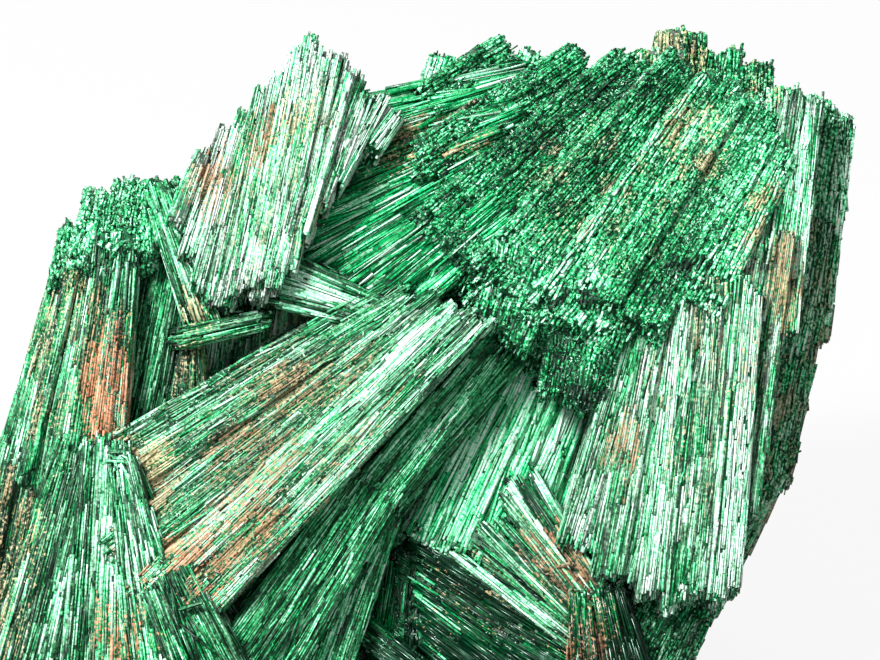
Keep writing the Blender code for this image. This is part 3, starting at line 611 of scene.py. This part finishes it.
def lay_tufts(group, count, length, width, steep, yaw=0.3):
    """Short crystals rooted in the skin that stick up from it."""
    chosen = take(group, count)
    up, way = outward[chosen], fibre[chosen]
    way = unit(way - up * dot(way, up)[:, None])
    way *= np.where(rng.random(len(chosen)) < AHEAD_SHARE, 1.0, -1.0)[:, None]
    slope = between(steep, len(chosen))[:, None]
    along = unit(way * np.cos(slope) + up * np.sin(slope))
    over = unit(up * np.cos(slope) - way * np.sin(slope))
    long = between(length, len(chosen), low_side=1.5)
    wide = between(width, len(chosen))
    middles = spots[chosen] + along * (long * ROOTED)[:, None]
    frames = turned(along, over, yaw, 0.1, rng.normal(0, 0.6, len(chosen)))
    return middles, frames, np.stack([long, wide, wide], axis=1), rng.uniform(-1, 1, len(chosen))


def lay_crumbs(group, count, width, tall, cluster, seed, stains=()):
    """Tiny crystals sown in clusters of about this size in mm, and thickly on the stains."""
    chosen = take(group, 3 * count)
    points = spots[chosen]
    crowd = patches(points, cluster, seed) + 0.6 * patches(points, cluster / 3, seed + 1)
    crowd += rng.normal(0, 0.35, len(chosen)) + STAIN_CROWD * stain_on(points, stains, seed)[0]
    chosen = chosen[np.argsort(-crowd)[:count]]
    up = unit(outward[chosen] + rng.normal(0, 0.35, (len(chosen), 3)))
    along = unit(np.cross(up, rng.normal(size=up.shape)))
    frames = np.stack([along, np.cross(up, along), up], axis=1)
    wide = between(width, len(chosen), low_side=1.5)
    high = between(tall, len(chosen), low_side=1.5)
    middles = spots[chosen] + up * (high * 0.2)[:, None]
    return middles, frames, np.stack([wide, wide, high], axis=1), rng.uniform(-1, 1, len(chosen))


def together(*lays):
    """Several layings as one."""
    return [np.concatenate(parts) for parts in zip(*lays)]


def near_places(points, places):
    """How much lighter each point is by places: across, up and half sizes in mm, and how much."""
    on_face = (points - FACE_CENTRE) @ FACE_AXES.T
    total = np.zeros(len(points))
    for across, up, wide, high, amount in places:
        away = np.hypot((on_face[:, 0] - across) / wide, (on_face[:, 1] - up) / high)
        total += amount * np.clip(EVEN_CORE * (1 - away), 0, 1)
    return total


def shades_for(lay, mean, spread, patchy, silver, seed, lighter=()):
    """Each crystal's shade: its own tone, in patches, and silver, a painted sheen, for the brightest
    share.
    """
    points, tone = lay[0], lay[3]
    shade = mean + spread * tone + patchy * patches(points, 2.6, seed) + near_places(points, lighter)
    bright = tone + 0.6 * patches(points, 3.5, seed + 20)
    # Painted sheen: the brightest share is lifted towards silver.
    shade = np.where(bright > np.quantile(bright, 1 - silver), shade * 0.4 + PAINTED_SHEEN_BASE, shade)
    return np.clip(shade, 0.0, 1.0)


def stain_on(points, places, seed):
    """How stained each crystal is and its kind, by places: as above, then strength and kind."""
    on_face = (points - FACE_CENTRE) @ FACE_AXES.T
    amount, kind = np.zeros(len(points)), np.zeros(len(points))
    blotches = patches(points, 1.5, seed) * 0.35 + patches(points, 0.5, seed + 1) * 0.3
    for across, up, wide, high, strength, colour in places:
        near = 1.0 - np.hypot((on_face[:, 0] - across) / wide, (on_face[:, 1] - up) / high)
        here = np.clip(2 * near, 0, 1) * (strength + blotches)
        kind = np.where(here > amount, colour, kind)
        amount = np.maximum(amount, here)
    return np.clip(amount, 0.0, 1.0), kind


def crystals(name, shape, lay, shade, grey, material, stains=(), seed=1):
    """One joined mesh of many copies of a crystal shape, with its shade and stain on each; the lower
    corners are darker, as painted shade at the roots.
    """
    middles, frames, sizes, _ = lay
    shape.verts.ensure_lookup_table()
    pattern = np.array([v.co for v in shape.verts])
    loops = np.array([v.index for f in shape.faces for v in f.verts])
    sides = np.array([len(f.verts) for f in shape.faces])
    shape.free()
    count, corner_count = len(middles), len(pattern)
    inside = pattern * sizes[:, None]
    points = (middles[:, None] + np.einsum("nvk,nkj->nvj", inside, frames)).reshape(-1, 3)
    points[:, 2] = np.maximum(points[:, 2], 0.0)
    every_side = np.tile(sides, count)
    every_loop = (loops[None] + corner_count * np.arange(count)[:, None]).ravel()
    mesh = bpy.data.meshes.new(name)
    mesh.vertices.add(len(points))
    mesh.vertices.foreach_set("co", (points * MM).ravel())
    mesh.loops.add(len(every_loop))
    mesh.loops.foreach_set("vertex_index", every_loop)
    mesh.polygons.add(len(every_side))
    mesh.polygons.foreach_set("loop_start", np.cumsum(every_side) - every_side)
    mesh.update(calc_edges=True)
    # Painted shade: each crystal's lower corners are darker than its top.
    painted_root_shade = np.where(pattern[:, 2] > 0, 0.0, ROOT_PAINTED_SHADE)
    stain, kind = stain_on(middles, stains, seed)
    # Greyness: part grey tone and part painted silver sheen on the crystals.
    greyness = grey * (1.0 + 1.0 * rng.normal(size=count) + 0.9 * patches(middles, 3.0, seed + 40))
    even = {"stain": stain, "stain_kind": kind, "greyness": np.clip(greyness, 0.0, 1.0)}
    values = {label: np.repeat(each, corner_count) for label, each in even.items()}
    values["shade"] = (shade[:, None] - painted_root_shade).ravel()
    for label, each in values.items():
        mesh.attributes.new(label, "FLOAT", "POINT").data.foreach_set("value", each)
    grain = inside + (np.arange(count) % 997)[:, None, None] * (0.0, 0.9, 0.0)
    mesh.attributes.new("grain", "FLOAT_VECTOR", "POINT").data.foreach_set("vector", grain.ravel())
    mesh.materials.append(material)
    piece = bpy.data.objects.new(name, mesh)
    bpy.context.scene.collection.objects.link(piece)
    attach(piece, "root")


def crystal_material(name, roughness, streaks, crumbs, vivid, **even):
    """Silky malachite: each crystal's shade, drawn out in fine streaks, flecked, greyed for grey tone
    and painted sheen, and stained.
    """
    material, add = new_material(name)
    place = add("ShaderNodeTexCoord").outputs["Object"]
    shade, greyness, stain, kind = (
        add("ShaderNodeAttribute", {"attribute_name": label}).outputs["Fac"]
        for label in ("shade", "greyness", "stain", "stain_kind")
    )
    grain = add("ShaderNodeAttribute", {"attribute_name": "grain"}).outputs["Vector"]
    drawn = add("ShaderNodeVectorMath", {"operation": "MULTIPLY"}, grain, STREAK_NOISE)
    fine = cloudy(add, drawn.outputs["Vector"], 1.0)
    across = add("ShaderNodeVectorMath", {"operation": "MULTIPLY"}, grain, CRACK_NOISE)
    cracked = cloudy(add, across.outputs["Vector"], 1.0)
    crack = reckon(add, "MULTIPLY_ADD", cracked, *CRACK_EDGE, clamp=True)
    speck = cloudy(add, place, SPECKS_A_METRE, 2.0)
    streaked = reckon(add, "MULTIPLY_ADD", fine, streaks, shade)
    flecked = reckon(add, "MULTIPLY_ADD", speck, crumbs, streaked)
    toned = reckon(add, "SUBTRACT", flecked, (streaks + crumbs) / 2)
    deep = reckon(add, "MULTIPLY_ADD", crack, CRACK_DEPTH, 1 - CRACK_DEPTH)
    tone = reckon(add, "MULTIPLY", toned, deep, clamp=True)
    fresh = add("ShaderNodeHueSaturation", None, Color=ramp(add, tone, SHADES))
    less = reckon(add, "MULTIPLY_ADD", greyness, -GREY_AND_SHEEN_STRENGTH, vivid)
    material.node_tree.links.new(less, fresh.inputs["Saturation"])
    by_speck, *by_stain = STAIN_EDGE
    limit = reckon(add, "MULTIPLY_ADD", stain, *by_stain)
    cover = reckon(add, "MULTIPLY_ADD", speck, by_speck, limit, clamp=True)
    dusty = reckon(add, "MULTIPLY", cover, STAIN_COVERS)
    # The stain's lightness follows the crystal's tone, so it carries the painted root shade and sheen as
    # well.
    by_speck, *by_tone = STAIN_LIGHT
    lit = reckon(add, "MULTIPLY_ADD", speck, by_speck, reckon(add, "MULTIPLY_ADD", tone, *by_tone))
    iron = add("ShaderNodeVectorMath", {"operation": "SCALE"}, ramp(add, kind, STAINS))
    material.node_tree.links.new(lit, iron.inputs["Scale"])
    mixed = add("ShaderNodeMix", {"data_type": "RGBA"})
    ends = (("Factor", dusty), ("A", fresh.outputs["Color"]), ("B", iron.outputs["Vector"]))
    for name_of_end, value in ends:
        socket = next(s for s in mixed.inputs if s.name == name_of_end and s.enabled)
        material.node_tree.links.new(value, socket)
    result = next(s for s in mixed.outputs if s.enabled)
    bump = add("ShaderNodeBump", None, Strength=0.35, Distance=0.00004, Height=tone).outputs["Normal"]
    rough = reckon(add, "MULTIPLY_ADD", fine, ROUGHNESS_SPAN, roughness - ROUGHNESS_SPAN / 2)
    shader = add("ShaderNodeBsdfPrincipled", None, Base_Color=result, Roughness=rough, Normal=bump)
    shader.inputs["Specular Tint"].default_value = SHEEN
    for key, value in even.items():
        shader.inputs[key.replace("_", " ")].default_value = value
    add("ShaderNodeOutputMaterial", None, Surface=shader.outputs["BSDF"])
    return material


silky = crystal_material("silky_needles", 0.46, 1.5, 0.9, 1.0, IOR=1.45)
PLATE_STAINS = (
    (-9.6, 15.0, 3.0, 2.4, 0.62, 0.72),
    (-12.6, 13.4, 3.0, 3.0, 0.55, 0.50),
    (-16.2, 10.8, 2.4, 2.4, 0.70, 0.45),
    (-12.5, 9.0, 6.0, 9.0, 0.25, 0.9),
)
PLATE_LIGHT = ((-9.0, 18.4, 5.0, 3.4, 0.10), (-15.5, 13.0, 3.0, 3.0, 0.08))
plate = together(
    lay_side_by_side("peak_plate", 0.15, 3.4, (0.02, 0.16), roll=0.28),
    lay_loose("peak_plate", 260, (0.6, 3.0), (0.10, 0.22), (0.10, 0.26)),
    lay_ends("peak_plate", 900, (0.05, 0.6), (0.12, 0.24)),
)
shade = shades_for(plate, 0.62, 0.17, 0.08, 0.24, 1, PLATE_LIGHT)
crystals("peak_plate_needles", bar_shape(), plate, shade, 0.42, silky, PLATE_STAINS, 1)
plate_crust = lay_crumbs("peak_plate", 7000, (0.08, 0.22), (0.15, 0.40), 1.6, 31, PLATE_STAINS)
shade = shades_for(plate_crust, 0.76, 0.22, 0.05, 0.3, 31)
crystals("peak_plate_crust", crumb_shape(), plate_crust, shade, 0.32, silky, PLATE_STAINS, 1)


# The emerald fan: glassy deep green needles that fan out of one point behind the druse, in a hollow
# beside the plate. Bright and silver ones lie between nearly black ones, and a few long loose needles
# are painted near white as glints.
glassy = crystal_material("glassy_needles", 0.30, 1.2, 0.6, 1.07, IOR=1.5)
FAN_STAINS = ((-1.4, 13.6, 6.6, 2.6, 0.45, 0.7), (-3.5, 12.0, 3.0, 1.6, 0.4, 0.7))
fan_needles = together(
    lay_side_by_side("emerald_fan", 0.18, 5.5, (0.02, 0.26), roll=0.3),
    lay_loose("emerald_fan", 250, (2.0, 7.0), (0.12, 0.26), (0.16, 0.36), yaw=0.03),
    lay_ends("emerald_fan", 900, (0.05, 0.9), (0.12, 0.28)),
)
shade = shades_for(fan_needles, 0.51, 0.14, 0.12, 0.08, 2)
crystals("emerald_fan_needles", bar_shape(), fan_needles, shade, 0.03, glassy, FAN_STAINS, 2)
# Painted glints: long loose needles painted near white along the fan.
fan_glint_needles = lay_loose("emerald_fan", 130, (2.0, 9.0), (0.12, 0.26), (0.22, 0.42), yaw=0.03)
shade = shades_for(fan_glint_needles, 0.82, 0.16, 0.10, 0.3, 32)
crystals("emerald_fan_painted_glint_needles", bar_shape(0.25), fan_glint_needles, shade, 0.25, glassy, (), 32)


# The druse face: the broad fuzzy face at the upper right. Over its streaky fibres lies a crust of short
# crystals that stick up, mint tips over deep green pits; the darker roots and a few dark pits are
# painted shade.
frosty = crystal_material("frosty_crust", 0.50, 1.0, 2.0, 1.06, IOR=1.45)
DRUSE_STAINS = (
    (18.5, 13.6, 3.6, 4.6, 0.5, 0.8),
    (23.4, 6.0, 3.2, 6.0, 0.5, 0.7),
    (12.0, 10.0, 9.0, 8.0, 0.22, 0.9),
)
# The first two rows lighten the crystals; the last four paint dark pits, painted shade where the crust
# has holes.
DRUSE_TONE_AND_PAINTED_PITS = (
    (22.0, 10.0, 6.0, 10.0, 0.24),
    (8.0, 4.0, 8.0, 6.0, 0.12),
    (9.4, 2.2, 2.8, 0.7, -0.7),
    (17.8, 4.6, 2.4, 0.6, -0.7),
    (10.2, -4.4, 2.0, 0.9, -0.7),
    (2.2, 1.2, 1.6, 0.8, -0.5),
)
druse = lay_side_by_side("druse_face", 0.24, 1.4, (0.02, 0.36), roll=0.4, yaw=0.06)
shade = shades_for(druse, 0.44, 0.12, 0.20, 0.06, 3, DRUSE_TONE_AND_PAINTED_PITS)
crystals("druse_fibres", bar_shape(), druse, shade, 0.05, frosty, DRUSE_STAINS, 3)
crust = lay_crumbs("druse_face", 26000, (0.10, 0.26), (0.20, 0.60), 1.1, 33)
shade = shades_for(crust, 0.56, 0.28, 0.20, 0.16, 4, DRUSE_TONE_AND_PAINTED_PITS)
crystals("druse_crust", crumb_shape(), crust, shade, 0.08, frosty, DRUSE_STAINS, 3)
tips = together(
    lay_tufts("druse_face", 1500, (0.3, 0.9), (0.10, 0.2), (0.1, 0.6), yaw=0.15),
    lay_ends("druse_face", 2500, (0.05, 0.8), (0.12, 0.3), lean=0.2),
)
shade = shades_for(tips, 0.55, 0.20, 0.20, 0.16, 34, DRUSE_TONE_AND_PAINTED_PITS)
crystals("druse_tips", ridge_shape(), tips, shade, 0.08, frosty, DRUSE_STAINS, 3)
SHOULDER_STAINS = ((17.0, 20.6, 5.0, 3.0, 0.55, 0.8), (24.0, 18.0, 5.0, 4.0, 0.3, 0.8))
shoulder = together(
    lay_side_by_side("back_shoulder", 0.30, 1.6, (0.02, 0.40), roll=0.5, yaw=0.05),
    lay_ends("back_shoulder", 1500, (0.05, 0.5), (0.14, 0.34), lean=0.2),
)
shade = shades_for(shoulder, 0.54, 0.18, 0.16, 0.10, 17)
crystals("back_shoulder_crust", ridge_shape(), shoulder, shade, 0.1, frosty, SHOULDER_STAINS, 3)
shoulder_crumbs = lay_crumbs("back_shoulder", 5000, (0.12, 0.30), (0.2, 0.6), 1.2, 35)
shade = shades_for(shoulder_crumbs, 0.66, 0.26, 0.10, 0.16, 35)
crystals("back_shoulder_crumbs", crumb_shape(), shoulder_crumbs, shade, 0.12, frosty, SHOULDER_STAINS, 3)


# The right column: long silver-white bundles down the right side, which end in a rounded break.
COLUMN_STAINS = (
    (24.8, 3.4, 2.0, 4.4, 0.60, 0.6),
    (13.0, -8.4, 2.2, 3.0, 0.5, 0.5),
    (21.0, 0.0, 4.0, 8.0, 0.3, 0.8),
    (18.0, -6.0, 6.0, 12.0, 0.2, 0.9),
)
COLUMN_LIGHT = ((22.5, 8.0, 3.5, 9.0, 0.08), (16.0, -14.0, 4.0, 4.0, 0.05))
column = together(
    lay_side_by_side("right_column", 0.16, 3.6, (0.02, 0.20), roll=0.28),
    lay_loose("right_column", 400, (0.8, 4.0), (0.10, 0.24), (0.10, 0.30)),
    lay_ends("right_column", 1200, (0.05, 0.7), (0.12, 0.28)),
)
shade = shades_for(column, 0.61, 0.20, 0.12, 0.26, 5, COLUMN_LIGHT)
crystals("right_column_needles", bar_shape(), column, shade, 0.28, silky, COLUMN_STAINS, 5)


# The right flank: the dark rough side that turns away from the light.
FLANK_STAINS = ((25.0, -8.0, 9.0, 30.0, 0.4, 0.95), (25.4, 5.0, 2.4, 6.0, 0.5, 0.7))
flank = together(
    lay_side_by_side("right_flank", 0.26, 2.4, (0.02, 0.36), roll=0.5, yaw=0.05),
    lay_tufts("right_flank", 1500, (0.2, 0.7), (0.12, 0.26), (0.2, 0.9)),
    lay_ends("right_flank", 800, (0.05, 0.6), (0.12, 0.3), lean=0.15),
)
shade = shades_for(flank, 0.50, 0.18, 0.12, 0.07, 6)
crystals("right_flank_crust", ridge_shape(), flank, shade, 0.20, frosty, FLANK_STAINS, 6)


# The diagonal bundles: the thick mint and silver bundles that run down to the left, crusted with
# tan and orange-brown towards their lower ends.
DIAGONAL_STAINS = (
    (-21.8, -10.8, 4.4, 4.6, 0.85, 0.75),
    (-18.6, -16.6, 6.0, 4.6, 0.62, 0.30),
    (-14.0, -14.0, 4.0, 5.0, 0.55, 0.45),
    (-10.4, -4.2, 4.4, 2.6, 0.62, 0.65),
    (-13.0, -8.6, 6.0, 4.0, 0.48, 0.55),
    (-10.0, -8.0, 14.0, 12.0, 0.2, 0.6),
)
diagonal = together(
    lay_side_by_side("diagonal_bundles", 0.15, 3.6, (0.02, 0.20), roll=0.28),
    lay_loose("diagonal_bundles", 500, (0.8, 4.0), (0.10, 0.24), (0.10, 0.30)),
    lay_ends("diagonal_bundles", 1200, (0.05, 0.7), (0.12, 0.28)),
)
DIAGONAL_LIGHT = (
    (-3.0, 0.0, 8.0, 5.0, 0.10),
    (-8.0, -10.0, 5.0, 5.0, 0.10),
    (-17.0, -13.0, 7.0, 6.0, 0.08),
)
shade = shades_for(diagonal, 0.52, 0.18, 0.14, 0.22, 7, DIAGONAL_LIGHT)
crystals("diagonal_bundle_needles", bar_shape(), diagonal, shade, 0.20, silky, DIAGONAL_STAINS, 7)
diagonal_crust = lay_crumbs(
    "diagonal_bundles", 12000, (0.10, 0.28), (0.20, 0.55), 1.6, 36, DIAGONAL_STAINS
)
shade = shades_for(diagonal_crust, 0.62, 0.26, 0.08, 0.2, 36, DIAGONAL_LIGHT)
crystals("diagonal_bundle_crust", crumb_shape(), diagonal_crust, shade, 0.25, silky, DIAGONAL_STAINS, 7)


# The under bundles and the recess: dark green and silver bundles below the crack, and bright
# emerald blades in the hollow under the druse's ledge.
under = together(
    lay_side_by_side("under_bundles", 0.16, 3.4, (0.02, 0.28), roll=0.3),
    lay_loose("under_bundles", 250, (0.8, 4.0), (0.10, 0.24), (0.12, 0.36)),
    lay_ends("under_bundles", 800, (0.05, 0.8), (0.12, 0.28)),
)
shade = shades_for(under, 0.50, 0.20, 0.12, 0.10, 8)
crystals("under_bundle_needles", bar_shape(), under, shade, 0.06, silky, (), 8)
recess = together(
    lay_side_by_side("recess_blades", 0.26, 5.0, (0.02, 0.30), roll=0.3),
    lay_loose("recess_blades", 160, (1.5, 6.0), (0.14, 0.30), (0.2, 0.5), yaw=0.10),
    lay_ends("recess_blades", 400, (0.05, 0.7), (0.14, 0.34)),
)
# The recess blades are given a high shade, partly painted light for the hollow under the ledge.
shade = shades_for(recess, 0.68, 0.16, 0.12, 0.16, 9)
crystals("recess_blade_crystals", bar_shape(), recess, shade, 0.14, glassy, (), 9)


# The crossing needles and the splinters: separate silver-white needles that lie across the
# hollow and under the plate.
CROSSING_STAINS = ((9.0, -17.0, 4.0, 4.0, 0.55, 0.5),)
crossing = together(
    lay_side_by_side("crossing_needles", 0.20, 6.0, (0.02, 0.18), roll=0.3),
    lay_ends("crossing_needles", 120, (0.05, 0.9), (0.12, 0.26)),
    lay_side_by_side("splinters", 0.20, 5.0, (0.02, 0.18), roll=0.3),
    lay_ends("splinters", 120, (0.05, 0.9), (0.12, 0.26)),
)
shade = shades_for(crossing, 0.38, 0.28, 0.06, 0.24, 10)
crystals("crossing_needle_crystals", bar_shape(), crossing, shade, 0.22, silky, CROSSING_STAINS, 10)


# The lower sheaves: dark olive sheaves and blades at the bottom, with white specks.
LOWER_STAINS = ((10.6, -22.0, 3.0, 3.0, 0.6, 0.5), (4.0, -19.0, 8.0, 5.0, 0.10, 0.65))
LOWER_LIGHT = ((10.8, -19.6, 2.2, 2.4, 0.35), (-4.6, -20.4, 2.6, 4.0, 0.30))
lower = together(
    lay_side_by_side("lower_sheaves", 0.20, 4.4, (0.02, 0.28), roll=0.3),
    lay_ends("lower_sheaves", 900, (0.05, 0.8), (0.12, 0.28)),
)
shade = shades_for(lower, 0.10, 0.14, 0.12, 0.05, 11, LOWER_LIGHT)
crystals("lower_sheaf_needles", bar_shape(), lower, shade, 0.05, glassy, LOWER_STAINS, 11)
# The specks are tiny crystals painted near white, partly as a painted sparkle.
lower_specks = lay_crumbs("lower_sheaves", 900, (0.08, 0.16), (0.25, 0.50), 1.5, 37)
shade = shades_for(lower_specks, 0.85, 0.20, 0.0, 0.5, 37)
crystals("lower_sheaf_specks", crumb_shape(), lower_specks, shade, 0.3, glassy, (), 37)


# The left column: dark green and grey-brown fibres, with a rust stain and mint streaks.
LEFT_STAINS = (
    (-23.8, -4.4, 2.8, 6.0, 0.66, 0.10),
    (-24.6, -1.0, 3.4, 5.0, 0.45, 0.45),
    (-27.6, 0.0, 4.0, 12.0, 0.35, 0.8),
    (-17.6, -2.0, 3.0, 8.0, 0.35, 0.8),
)
LEFT_LIGHT = (
    (-26.6, -4.0, 1.4, 7.0, 0.25),
    (-23.8, -5.0, 2.4, 6.0, 0.18),
    (-20.0, -0.5, 2.6, 9.0, -0.24),
)
left = together(
    lay_side_by_side("left_column", 0.17, 3.4, (0.02, 0.26), roll=0.3),
    lay_ends("left_column", 1200, (0.05, 0.8), (0.12, 0.28)),
)
shade = shades_for(left, 0.42, 0.20, 0.12, 0.12, 12, LEFT_LIGHT)
crystals("left_column_needles", bar_shape(), left, shade, 0.15, silky, LEFT_STAINS, 12)
# The specks are tiny crystals painted near white, partly as a painted sparkle.
left_specks = lay_crumbs(
    "left_column", 4500, (0.07, 0.16), (0.25, 0.45), 1.4, 38, LEFT_STAINS[:2]
)
shade = shades_for(left_specks, 0.85, 0.20, 0.0, 0.5, 38)
crystals("left_column_specks", crumb_shape(), left_specks, shade, 0.3, silky, LEFT_STAINS, 12)


# The cap druse: the knobbly bright green top of the left column.
cap = together(
    lay_side_by_side("cap_druse", 0.28, 0.9, (0.02, 0.50), roll=0.6, yaw=0.1),
    lay_tufts("cap_druse", 500, (0.25, 0.6), (0.16, 0.36), (0.3, 1.0)),
    lay_ends("cap_druse", 1200, (0.05, 0.7), (0.16, 0.40), lean=0.3),
)
shade = shades_for(cap, 0.54, 0.18, 0.14, 0.06, 13)
crystals("cap_druse_knobs", ridge_shape(), cap, shade, 0.1, frosty, (), 13)
cap_crumbs = lay_crumbs("cap_druse", 4500, (0.18, 0.42), (0.25, 0.6), 1.0, 39)
shade = shades_for(cap_crumbs, 0.62, 0.24, 0.10, 0.14, 39)
crystals("cap_druse_crumbs", crumb_shape(), cap_crumbs, shade, 0.15, frosty, (), 39)


# The lower left: the flared foot of the left side, mint-white along its ridge.
FOOT_STAINS = ((-31.0, -14.0, 4.0, 14.0, 0.40, 0.75), (-22.0, -22.0, 4.0, 3.0, 0.4, 0.2))
FOOT_LIGHT = ((-23.0, -15.0, 2.4, 10.0, 0.22), (-32.0, -16.0, 3.0, 12.0, -0.08))
foot = together(
    lay_side_by_side("lower_left", 0.18, 3.4, (0.02, 0.26), roll=0.3),
    lay_loose("lower_left", 300, (0.8, 4.0), (0.12, 0.24), (0.12, 0.32)),
    lay_ends("lower_left", 900, (0.05, 0.8), (0.12, 0.28)),
)
shade = shades_for(foot, 0.37, 0.20, 0.14, 0.10, 14, FOOT_LIGHT)
crystals("lower_left_needles", bar_shape(), foot, shade, 0.18, silky, FOOT_STAINS, 14)


# The skirt: the foot that the photograph cuts off, finished like the sheaves above it.
skirt = together(
    lay_side_by_side("skirt", 0.24, 3.0, (0.02, 0.30), roll=0.3),
    lay_ends("skirt", 900, (0.05, 0.6), (0.12, 0.3)),
)
shade = shades_for(skirt, 0.46, 0.20, 0.14, 0.10, 15)
crystals("skirt_needles", ridge_shape(), skirt, shade, 0.15, silky, FOOT_STAINS, 15)


# The back sheaves: the hidden back, the same fibres in mid green.
BACK_STAINS = ((-4.0, 2.0, 12.0, 8.0, 0.35, 0.7), (12.0, -12.0, 9.0, 7.0, 0.35, 0.55))
back = together(
    lay_side_by_side("back_sheaves", 0.25, 4.0, (0.02, 0.34), roll=0.3),
    lay_loose("back_sheaves", 900, (0.8, 4.0), (0.14, 0.28), (0.12, 0.40)),
    lay_ends("back_sheaves", 1600, (0.05, 0.6), (0.14, 0.34)),
)
shade = shades_for(back, 0.52, 0.22, 0.14, 0.14, 16)
crystals("back_sheaf_needles", ridge_shape(), back, shade, 0.15, silky, BACK_STAINS, 16)


# The stage: a pale floor bright enough to lose its shadows, as in the photograph, a large soft
# key light from the upper left, a weak fill, a light from behind, and the camera square to the
# leaning face. The floor glows for the camera, but sheds little light on the lump.
PHOTO_ACROSS = 63.4
LENS = 135.0
SENSOR = 36.0
FLOOR_COLOUR = (0.04, 0.04, 0.04, 1.0)
FLOOR_GLOW = 0.90
FLOOR_LIGHT = 0.22


def add_floor():
    """The plain pale floor."""
    bpy.ops.mesh.primitive_plane_add(size=6.0)
    floor = bpy.context.object
    floor.name = "floor"
    material, add = new_material("pale_floor")
    shader = add("ShaderNodeBsdfPrincipled", None, Base_Color=FLOOR_COLOUR, Roughness=1.0)
    shader.inputs["Specular IOR Level"].default_value = 0.0
    shader.inputs["Emission Color"].default_value = (1.0, 1.0, 1.0, 1.0)
    seen = add("ShaderNodeLightPath").outputs["Is Camera Ray"]
    glow = reckon(add, "MULTIPLY_ADD", seen, FLOOR_GLOW - FLOOR_LIGHT, FLOOR_LIGHT)
    material.node_tree.links.new(glow, shader.inputs["Emission Strength"])
    add("ShaderNodeOutputMaterial", None, Surface=shader.outputs["BSDF"])
    floor.data.materials.append(material)


def add_light(name, place, size, power):
    """A square soft light that faces the lump's middle."""
    data = bpy.data.lights.new(name, "AREA")
    data.size = size
    data.energy = power
    light = bpy.data.objects.new(name, data)
    light.location = place
    light.rotation_euler = (Vector((0, 0, 0.025)) - Vector(place)).to_track_quat("-Z", "Y").to_euler()
    bpy.context.scene.collection.objects.link(light)


def add_camera():
    """The camera, square to the leaning face."""
    data = bpy.data.cameras.new("camera")
    data.lens = LENS
    data.sensor_width = SENSOR
    data.clip_start = 0.01
    camera = bpy.data.objects.new("camera", data)
    away = Vector(FACE_AXES[2]) * (PHOTO_ACROSS * LENS / SENSOR) * MM
    camera.location = Vector(FACE_CENTRE) * MM + away
    camera.rotation_euler = (-away).to_track_quat("-Z", "Y").to_euler()
    bpy.context.scene.collection.objects.link(camera)
    bpy.context.scene.camera = camera


add_floor()
add_light("key", (-0.24, -0.31, 0.45), 0.13, 8.8)
add_light("fill", (0.05, -0.60, 0.25), 0.50, 1.6)
add_light("rim", (-0.15, 0.35, 0.40), 0.30, 2.0)
add_camera()
world = bpy.data.worlds.new("studio")
world.use_nodes = True
world.node_tree.nodes["Background"].inputs["Color"].default_value = (1.0, 1.0, 1.0, 1.0)
world.node_tree.nodes["Background"].inputs["Strength"].default_value = 0.36
bpy.context.scene.world = world
bpy.context.scene.view_settings.view_transform = "Standard"
